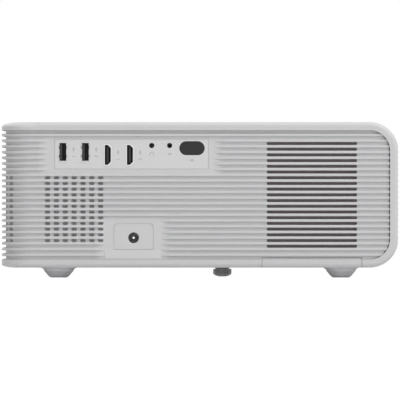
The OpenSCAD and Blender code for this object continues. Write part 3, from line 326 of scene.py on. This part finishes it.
# Painted light: both foot finishes are near white, lighter than the feet's own grey, to make up for the
# shade under the body
FOOT_RUBBER_PAINTED_LIGHT = plastic("foot_rubber", tone(252, 251, 254), tone(246, 245, 250), roughness=0.75,
                      depth=0.04 * MM)
FOOT_PLASTIC_PAINTED_LIGHT = plastic("foot_plastic", tone(254, 254, 254), tone(250, 250, 250), roughness=0.55)
PRINT_GREY = plastic("print_grey", tone(146, 146, 147), tone(138, 138, 140), roughness=0.6, drift=0.2)
PRINT_DARK = plastic("print_dark", tone(96, 96, 98), tone(86, 86, 88), roughness=0.6, drift=0.2)
BOARD_GREEN = plastic("board_green", tone(28, 84, 52), tone(18, 62, 40), roughness=0.35, drift=0.5,
                      coat=0.3)
SOCKET_METAL = metal("socket_metal", tone(232, 232, 231), tone(204, 205, 205), roughness=0.3)
DULL_METAL = metal("dull_metal", tone(212, 212, 212), tone(194, 194, 195), roughness=0.5)
SHEET_STEEL = metal("sheet_steel", tone(206, 208, 210), tone(176, 179, 183), roughness=0.32)
STUD_STEEL = metal("stud_steel", tone(188, 190, 193), tone(158, 161, 165), roughness=0.3,
                   lines=LINES_ALONG_Z)
BRASS = metal("turned_brass", tone(214, 184, 116), tone(182, 148, 84), roughness=0.28)
ALUMINIUM = metal("fin_aluminium", tone(210, 212, 215), tone(188, 190, 194), roughness=0.35,
                  lines=LINES_ALONG_Y)
SPEAKER_CLOTH = cloth("speaker_cloth", tone(206, 205, 206), tone(138, 138, 140), 0.7 * MM)
# Painted shade: a dark woven sheet over the exhaust slots, standing in for the shade inside them
SLOT_SHADE_SHEET = cloth("slot_shade_sheet", tone(140, 130, 129), tone(116, 107, 107), 0.45 * MM)
FILTER_CLOTH = cloth("filter_cloth", tone(74, 74, 76), tone(48, 48, 50), 1.1 * MM)
# Painted shade: the inlet's pin is dark past this depth in its bore
PIN_SHADE_Y = -94.6 * MM
PIN = pin_metal(PIN_SHADE_Y)
GLASS = coated_glass()

# Each slot's finish, and then the nodes whose finish isn't their slot's
SLOT_FINISH = {
    "shell_plastic": SHELL, "ribbed_plastic": RIBBED, "smoked_window": SMOKED, "socket_metal": SOCKET_METAL,
    "socket_plastic": SOCKET_BLACK, "jack_plastic": JACK_PAINTED_LIGHT, "circuit_board": BOARD_GREEN,
    "grille_cloth": SPEAKER_CLOTH, "black_plastic": BLACK, "filter_foam": FILTER_CLOTH,
    "foot_rubber": FOOT_RUBBER_PAINTED_LIGHT, "foot_plastic": FOOT_PLASTIC_PAINTED_LIGHT, "insert_brass": BRASS,
    "stud_steel": STUD_STEEL, "cooler_aluminium": ALUMINIUM, "lens_glass": GLASS,
    "ring_plastic": RING_BLACK, "bezel_plastic": BEZEL_GREY, "sheet_steel": SHEET_STEEL,
    "tray_plastic": BLACK, "key_plastic": KEY_SATIN,
}
NODE_FINISH = {"port_plate": PORT_GREY, "power_plate": RIBBED, "usb_tongues": TONGUE_GREY,
               "hdmi_tongues": TONGUE_GREY, "dc_jack": INLET_GREY, "usb_shell_1": DULL_METAL,
               "usb_shell_2": DULL_METAL, "dc_pin": PIN}


def finish_cad_nodes():
    """Gives every CAD node one finish over its whole surface."""
    slots = {row["node"]: row["material_slot"] for row in frame["record"]["subparts"]}
    for name, piece in frame["nodes"].items():
        material = NODE_FINISH.get(name, SLOT_FINISH[slots[name]])
        piece.data.materials.clear()
        piece.data.materials.append(material)
        for face in piece.data.polygons:
            face.material_index = 0


# ------------------------------------------------------------------ shape helpers


def keep(piece, material, body=BODY):
    """Gives a finished piece its material and the body that it rides on."""
    piece.data.materials.append(material)
    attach(piece, body)
    return piece


def link_mesh(name, mesh):
    """A new object in the scene for a mesh."""
    made = bpy.data.objects.new(name, mesh)
    bpy.context.scene.collection.objects.link(made)
    return made


def strokes(name, lines, put, width, height):
    """Printed strokes, each a list of (across, up) points. put turns across, up and out into a place."""
    curve = bpy.data.curves.new(name, "CURVE")
    curve.dimensions = "3D"
    curve.bevel_depth = 0.5
    curve.bevel_resolution = 3
    curve.use_fill_caps = True
    for line in lines:
        spline = curve.splines.new("POLY")
        spline.points.add(len(line) - 1)
        for point, (across, up) in zip(spline.points, line):
            point.co = (across / width, up / width, 0.0, 1.0)
    drawn = bpy.data.objects.new(name + "_line", curve)
    bpy.context.scene.collection.objects.link(drawn)
    bpy.context.view_layer.update()
    graph = bpy.context.evaluated_depsgraph_get()
    mesh = bpy.data.meshes.new_from_object(drawn.evaluated_get(graph))
    bpy.data.objects.remove(drawn)
    for vertex in mesh.vertices:
        across, up, out = vertex.co
        vertex.co = put(across * width, up * width, out * 2 * height)
    mesh.name = name
    return link_mesh(name, mesh)


def arc(radius, start, end, centre=(0.0, 0.0), steps=12):
    """Points of an arc between two angles in degrees."""
    angles = [math.radians(start + (end - start) * i / steps) for i in range(steps + 1)]
    return [(centre[0] + radius * math.cos(a), centre[1] + radius * math.sin(a)) for a in angles]


# ------------------------------------------------------------------ printed signs

# The strokes of plain signs, in millimetres about their own middles
SIGNS = {
    "one": [[(-0.5, 0.6), (0.1, 1.2), (0.1, -1.2)]],
    "two": [arc(0.6, 170, -40, (0.0, 0.6), 8) + [(-0.6, -1.2), (0.7, -1.2)]],
    "phones": [arc(1.3, 200, -20), [(-1.25, -0.3), (-1.25, -1.2)], [(1.25, -0.3), (1.25, -1.2)]],
    "wave": [arc(1.5, 150, 30, (0.0, -0.8), 8), arc(0.8, 150, 30, (0.0, -0.7), 8),
             [(0.0, -0.9), (0.0, -0.6)]],
    "plug": [[(-1.4, 0.0), (-0.5, 0.0)], [(-0.5, 0.5), (0.5, 0.5), (0.5, -0.5), (-0.5, -0.5), (-0.5, 0.5)],
             [(0.5, 0.0), (1.4, 0.0)]],
    "power": [arc(1.6, 55, -235), [(0.0, 0.5), (0.0, 2.1)]],
    "source": [[(0.0, -1.5), (1.9, -1.5), (1.9, 1.5), (0.0, 1.5)], [(-1.9, 0.0), (0.9, 0.0)],
               [(0.1, 0.8), (0.9, 0.0), (0.1, -0.8)]],
    "menu": [[(-1.6, 1.2), (1.6, 1.2)], [(-1.6, 0.0), (1.6, 0.0)], [(-1.6, -1.2), (1.6, -1.2)]],
    "play": [[(-1.9, 1.4), (0.3, 0.0), (-1.9, -1.4), (-1.9, 1.4)], [(1.1, 1.4), (1.1, -1.4)],
             [(2.0, 1.4), (2.0, -1.4)]],
    "arrow": [[(-1.3, -0.6), (0.0, 0.7), (1.3, -0.6)]],
    "ring": [arc(1.5, 0, 360, steps=24)],
    "eject": [[(-1.1, -0.1), (0.0, 0.9), (1.1, -0.1), (-1.1, -0.1)], [(-1.1, -0.8), (1.1, -0.8)]],
    "cross": [[(-1.1, 0.0), (1.1, 0.0)], [(0.0, -1.1), (0.0, 1.1)]],
}

# The directions across, up and out of each side, as its viewer sees them
REAR = (Vector((1, 0, 0)), Vector((0, 0, 1)), Vector((0, -1, 0)))
FRONT = (Vector((-1, 0, 0)), Vector((0, 0, 1)), Vector((0, 1, 0)))
TOP = (Vector((1, 0, 0)), Vector((0, 1, 0)), Vector((0, 0, 1)))
UNDERSIDE = (Vector((1, 0, 0)), Vector((0, -1, 0)), Vector((0, 0, -1)))
INK_HEIGHT = 0.03 * MM
KEY_STROKE = 0.4


def sign_on(side, name, sign, place, material, body=BODY, turn=0.0, size=1.0, width=0.32):
    """A plain sign on a flat face. The turn is in degrees and the strokes' width in millimetres."""
    across_way, up_way, out_way = side
    turned = Matrix.Rotation(math.radians(turn), 2)

    def put(across, up, out):
        p = turned @ Vector((across, up))
        return place + across_way * p.x + up_way * p.y + out_way * out
    lines = [[(a * size * MM, u * size * MM) for a, u in line] for line in SIGNS[sign]]
    made = strokes(name, lines, put, width * MM, INK_HEIGHT)
    return keep(made, material, body)


def rear_sign(name, sign, x, z, turn=0.0, size=1.0):
    """A sign printed on the rear plate."""
    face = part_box("port_plate")[0].y
    return sign_on(REAR, name, sign, Vector((x, face, z)), PRINT_GREY, turn=turn,
                   size=size)


def middle(node_name):
    """The middle of a node's box."""
    low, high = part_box(node_name)
    return (low + high) / 2


def socket_labels():
    """Beside each upright socket its sign and number, and under each jack and the window a sign."""
    beside, sign_up, number_down = 4.4 * MM, 1.8 * MM, 3.2 * MM
    plugs = (("usb_shell_1", "one"), ("usb_shell_2", "two"), ("hdmi_shell_1", "one"),
             ("hdmi_shell_2", "two"))
    for count, (shell, number) in enumerate(plugs, 1):
        centre = middle(shell)
        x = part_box(shell)[1].x + beside
        rear_sign(f"plug_sign_{count}", "plug", x, centre.z + sign_up, 90, 1.1)
        rear_sign(f"plug_number_{count}", number, x, centre.z - number_down, 90, 0.9)
    under = (("phones_sign", "phones", "av_jack", 6.0, 1.0), ("line_sign", "plug", "phone_jack", 6.0, 1.0),
             ("window_sign", "wave", "ir_window_rear", 8.7, 1.1))
    for name, sign, above, down, size in under:
        centre = middle(above)
        rear_sign(name, sign, centre.x, centre.z - down * MM, size=size)


def key_signs():
    """Signs on the keys, on the nav ring's four sides and on the eject button."""
    arrow_radius = 13 * MM
    for body in ("power", "source", "menu", "play"):
        low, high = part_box(f"key_{body}")
        place = Vector(((low.x + high.x) / 2, (low.y + high.y) / 2, high.z))
        sign_on(TOP, f"{body}_sign", body, place, PRINT_DARK, body, size=1.1,
                width=KEY_STROKE)
    low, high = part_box("nav_ring")
    centre = Vector(((low.x + high.x) / 2, (low.y + high.y) / 2, high.z))
    for count in range(4):
        way = Matrix.Rotation(math.radians(90 * count), 3, "Z") @ Vector((0, arrow_radius, 0))
        sign_on(TOP, f"nav_sign_{count + 1}", "arrow", centre + way, PRINT_DARK, "nav",
                turn=90 * count, width=KEY_STROKE)
    ok_top = Vector((centre.x, centre.y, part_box("key_ok")[1].z))
    sign_on(TOP, "ok_sign", "ring", ok_top, PRINT_DARK, "ok", width=KEY_STROKE)
    low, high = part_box("eject_button")
    face = Vector(((low.x + high.x) / 2, high.y, (low.z + high.z) / 2))
    sign_on(FRONT, "eject_sign", "eject", face, PRINT_DARK, "eject", size=0.8, width=0.3)


# ------------------------------------------------------------------ small parts


def exhaust_shade_sheet():
    """A fine woven sheet on the bars of the exhaust screen, which fills each slot evenly. Its dark tone is
    painted shade, standing in for the shade inside the slots.
    """
    bars = [v.co for v in frame["nodes"]["grille_cloth"].data.vertices if v.co.x > 0 and v.co.y < 0]
    low = Vector([min(p[axis] for p in bars) for axis in range(3)])
    high = Vector([max(p[axis] for p in bars) for axis in range(3)])
    mesh = bpy.data.meshes.new("exhaust_shade_sheet")
    across, up, gap, thickness = 48, 56, 0.01 * MM, 0.04 * MM
    row = across + 1
    points = [(low.x + (high.x - low.x) * i / across, low.y - gap, low.z + (high.z - low.z) * k / up)
              for k in range(up + 1) for i in range(row)]
    starts = [k * row + i for k in range(up) for i in range(across)]
    mesh.from_pydata(points, [], [(s, s + 1, s + row + 1, s + row) for s in starts])
    made = link_mesh("exhaust_shade_sheet", mesh)
    thick = made.modifiers.new("thickness", "SOLIDIFY")
    thick.thickness = thickness
    thick.offset = 1.0
    keep(made, SLOT_SHADE_SHEET)


def tray_cover():
    """The thin steel cover under the tray, with rounded corners and a bead pressed into it."""
    low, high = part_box("disc_tray")
    rear_margin = 2 * MM
    half_x, half_y, corner, thick = 60 * MM, 59 * MM, 4 * MM, 0.25 * MM
    centre = Vector(((low.x + high.x) / 2, low.y + rear_margin + half_y, low.z))
    bead_floor = -0.3 * thick
    # Each ring's inset from the edge and its height: the edge, the flat border, the bead and the field
    rings = ((0.0, 0.0), (0.0, -thick), (4 * MM, -thick), (4.6 * MM, bead_floor), (6.4 * MM, bead_floor),
             (7.0 * MM, -thick))
    quarters = ((1, 1), (-1, 1), (-1, -1), (1, -1))
    made = bmesh.new()
    loops = []
    for inset, height in rings:
        loop = []
        for quarter, (sign_x, sign_y) in enumerate(quarters):
            for x, y in arc(corner, 90 * quarter, 90 * quarter + 90, steps=6):
                loop.append(made.verts.new((centre.x + sign_x * (half_x - inset - corner) + x,
                                            centre.y + sign_y * (half_y - inset - corner) + y,
                                            centre.z + height)))
        loops.append(loop)
    for upper, lower in zip(loops, loops[1:]):
        for k in range(len(upper)):
            following = (k + 1) % len(upper)
            made.faces.new((upper[k], lower[k], lower[following], upper[following]))
    made.faces.new(loops[-1])
    made.faces.new(reversed(loops[0]))
    bmesh.ops.recalc_face_normals(made, faces=made.faces)
    mesh = bpy.data.meshes.new("tray_cover")
    made.to_mesh(mesh)
    made.free()
    keep(link_mesh("tray_cover", mesh), SHEET_STEEL, "tray")


def screw_recess_shade():
    """A black cross on the head of each screw in the underside: painted shade, standing in for the shade in
    its cross recess.
    """
    low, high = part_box("shell_screws")
    points = [v.co for v in frame["nodes"]["shell_screws"].data.vertices]
    head, reach = 2.4 * MM, 3 * MM
    for count, x in enumerate((low.x + head, high.x - head)):
        ends = [p.y for p in points if abs(p.x - x) < reach]
        for end, y in enumerate((min(ends) + head, max(ends) - head)):
            # painted shade: a black cross for each screw's recess
            sign_on(UNDERSIDE, f"screw_cross_{2 * count + end + 1}", "cross", Vector((x, y, low.z)), BLACK,
                    turn=30 + 50 * count + 20 * end, width=0.6)


# ------------------------------------------------------------------ stage

# What the photograph covers at the rear face, and how far off its camera stands
PHOTO_WIDTH = 280.2 * MM
PHOTO_CENTRE = Vector((0.1 * MM, -109 * MM, 54.4 * MM))
CAMERA_DISTANCE = 12.0
SENSOR = 36.0

AMBIENT = 0.52
FLOOR_HALF = 40.0
FLOOR_TONE = (0.8, 0.8, 0.8, 1.0)
FLOOR_GLOW = 1.05
SHADOW_SHARE = 0.08
LAMP_AIM = Vector((0, 0, 0.058))

# Each square lamp's name, place, side in metres and power in watts
LAMPS = (
    ("key_lamp", (1.0, -1.4, 2.2), 1.8, 46.0),
    ("top_lamp", (0.2, 0.0, 2.4), 1.8, 5.0),
    ("front_lamp", (-1.4, 2.0, 1.2), 1.6, 12.0),
)


def seen_directly(tree):
    """1 for rays that reach the camera straight, off a gloss or through glass, and 0 for others."""
    path = node(tree, "ShaderNodeLightPath")
    first = math_node(tree, "MAXIMUM", path.outputs["Is Camera Ray"], path.outputs["Is Glossy Ray"])
    return math_node(tree, "MAXIMUM", first, path.outputs["Is Transmission Ray"])


def add_world():
    """A world that looks white, and lights the object with less."""
    world = bpy.data.worlds.new("studio")
    bpy.context.scene.world = world
    world.use_nodes = True
    tree = world.node_tree
    tree.nodes.clear()
    ground = node(tree, "ShaderNodeBackground")
    ground.inputs["Color"].default_value = WHITE
    strength = node(tree, "ShaderNodeMapRange")
    tree.links.new(seen_directly(tree), strength.inputs["Value"])
    strength.inputs["To Min"].default_value = AMBIENT
    strength.inputs["To Max"].default_value = 1.0
    tree.links.new(strength.outputs["Result"], ground.inputs["Strength"])
    out = node(tree, "ShaderNodeOutputWorld")
    tree.links.new(ground.outputs[0], out.inputs["Surface"])


def add_floor():
    """A pale floor that looks white, keeps a share of the object's shadow and is clear from below."""
    mesh = bpy.data.meshes.new("floor")
    corners = [(x * FLOOR_HALF, y * FLOOR_HALF, 0) for x, y in ((-1, -1), (1, -1), (1, 1), (-1, 1))]
    mesh.from_pydata(corners, [], [(0, 1, 2, 3)])
    floor = link_mesh("floor", mesh)
    material, tree, shader = new_material("floor_white")
    shader.inputs["Base Color"].default_value = FLOOR_TONE
    shader.inputs["Roughness"].default_value = 0.9
    glow = node(tree, "ShaderNodeEmission")
    glow.inputs["Strength"].default_value = FLOOR_GLOW
    blend = node(tree, "ShaderNodeMixShader")
    share = math_node(tree, "MULTIPLY", seen_directly(tree), 1.0 - SHADOW_SHARE)
    tree.links.new(share, blend.inputs[0])
    tree.links.new(shader.outputs[0], blend.inputs[1])
    tree.links.new(glow.outputs[0], blend.inputs[2])
    clear = node(tree, "ShaderNodeMixShader")
    tree.links.new(node(tree, "ShaderNodeNewGeometry").outputs["Backfacing"], clear.inputs[0])
    tree.links.new(blend.outputs[0], clear.inputs[1])
    tree.links.new(node(tree, "ShaderNodeBsdfTransparent").outputs[0], clear.inputs[2])
    out = next(n for n in tree.nodes if n.type == "OUTPUT_MATERIAL")
    tree.links.new(clear.outputs[0], out.inputs["Surface"])
    mesh.materials.append(material)


def add_lamp(name, place, side, watts):
    """A square area lamp that points at the middle of the body."""
    lamp = bpy.data.lights.new(name, "AREA")
    lamp.shape = "RECTANGLE"
    lamp.size = lamp.size_y = side
    lamp.energy = watts
    made = bpy.data.objects.new(name, lamp)
    made.location = place
    made.rotation_euler = (LAMP_AIM - Vector(place)).to_track_quat("-Z", "Y").to_euler()
    bpy.context.scene.collection.objects.link(made)


def add_camera():
    """The photograph's camera: square on to the rear and far off, so almost without perspective."""
    lens = bpy.data.cameras.new("camera")
    lens.type = "PERSP"
    lens.sensor_width = SENSOR
    lens.lens = SENSOR * CAMERA_DISTANCE / PHOTO_WIDTH
    lens.clip_start = 0.1
    lens.clip_end = 100.0
    camera = bpy.data.objects.new("camera", lens)
    camera.location = PHOTO_CENTRE - Vector((0, CAMERA_DISTANCE, 0))
    camera.rotation_euler = (math.radians(90), 0, 0)
    bpy.context.scene.collection.objects.link(camera)
    bpy.context.scene.camera = camera


def add_stage():
    """The white studio of the photograph, with its lamps and its camera."""
    bpy.context.scene.view_settings.view_transform = "Standard"
    add_world()
    add_floor()
    for lamp in LAMPS:
        add_lamp(*lamp)
    add_camera()


# ------------------------------------------------------------------ the whole part

finish_cad_nodes()
socket_labels()
key_signs()
exhaust_shade_sheet()
tray_cover()
screw_recess_shade()
add_stage()
